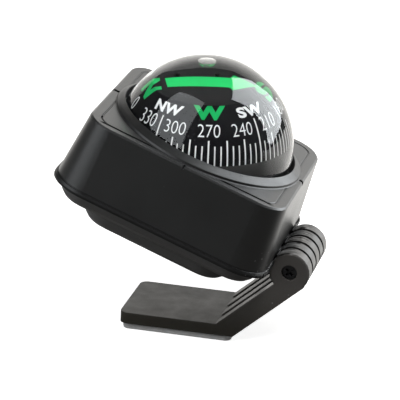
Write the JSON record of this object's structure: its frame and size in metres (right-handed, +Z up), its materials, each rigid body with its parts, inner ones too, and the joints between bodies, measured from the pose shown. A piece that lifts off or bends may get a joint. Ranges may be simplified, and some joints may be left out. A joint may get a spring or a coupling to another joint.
{
  "type": "dashboard ball compass",
  "caption": "Liquid filled ball compass for a car dashboard, in a square black housing that tilts on a ribbed self-adhesive bracket",
  "frame": {"origin": "middle of the adhesive pad's underside", "axes": "+X from the foot towards the hinge, +Y along the hinge axis, +Z up"},
  "size_m": [0.0594, 0.0546, 0.0652],
  "materials": {
    "black_plastic": "fine matt grain",
    "foam": "closed cell foam",
    "black_steel": "black oxide",
    "steel": "zinc plated",
    "clear_plastic": "clear moulded",
    "grey_plastic": "smooth",
    "seal_rubber": "smooth",
    "jewel": "polished",
    "brass": "turned",
    "card_plastic": "printed",
    "magnet_steel": "ground"
  },
  "bodies": {
    "bracket": {"mounting_bracket": "black_plastic", "adhesive_pad": "foam", "hinge_screw": "black_steel", "hinge_washer": "steel", "hinge_nut": "steel"},
    "housing": {"housing_shell": "black_plastic", "bezel_plate": "black_plastic", "base_cover": "black_plastic", "base_screws": "steel", "dome_lens": "clear_plastic", "capsule_bowl": "grey_plastic", "capsule_seal": "seal_rubber", "fill_plug": "seal_rubber", "pivot_needle": "steel"},
    "jewel": {"jewel_cup": "jewel"},
    "hub": {"card_hub": "brass"},
    "card": {"compass_card": "card_plastic", "card_float": "grey_plastic", "card_magnets": "magnet_steel", "pivot_keeper": "brass"}
  },
  "joints": [
    {"name": "housing_tilt", "type": "hinge", "parent": "bracket", "child": "housing", "pos_m": [0.0262, 0, 0.019], "axis": [0, 1, 0], "range_deg": [-26, 150]},
    {"name": "jewel_pitch", "type": "hinge", "parent": "housing", "child": "jewel", "pos_m": [0.00234, 0, 0.04457], "axis": [0, 1, 0], "range_deg": [-7.5, 48.5]},
    {"name": "jewel_roll", "type": "hinge", "parent": "jewel", "child": "hub", "pos_m": [0.00234, 0, 0.04457], "axis": [1, 0, 0], "range_deg": [-20, 20]},
    {"name": "card_heading", "type": "hinge", "parent": "hub", "child": "card", "pos_m": [0.00234, 0, 0.04457], "axis": [0, 0, 1], "continuous": true}
  ]
}
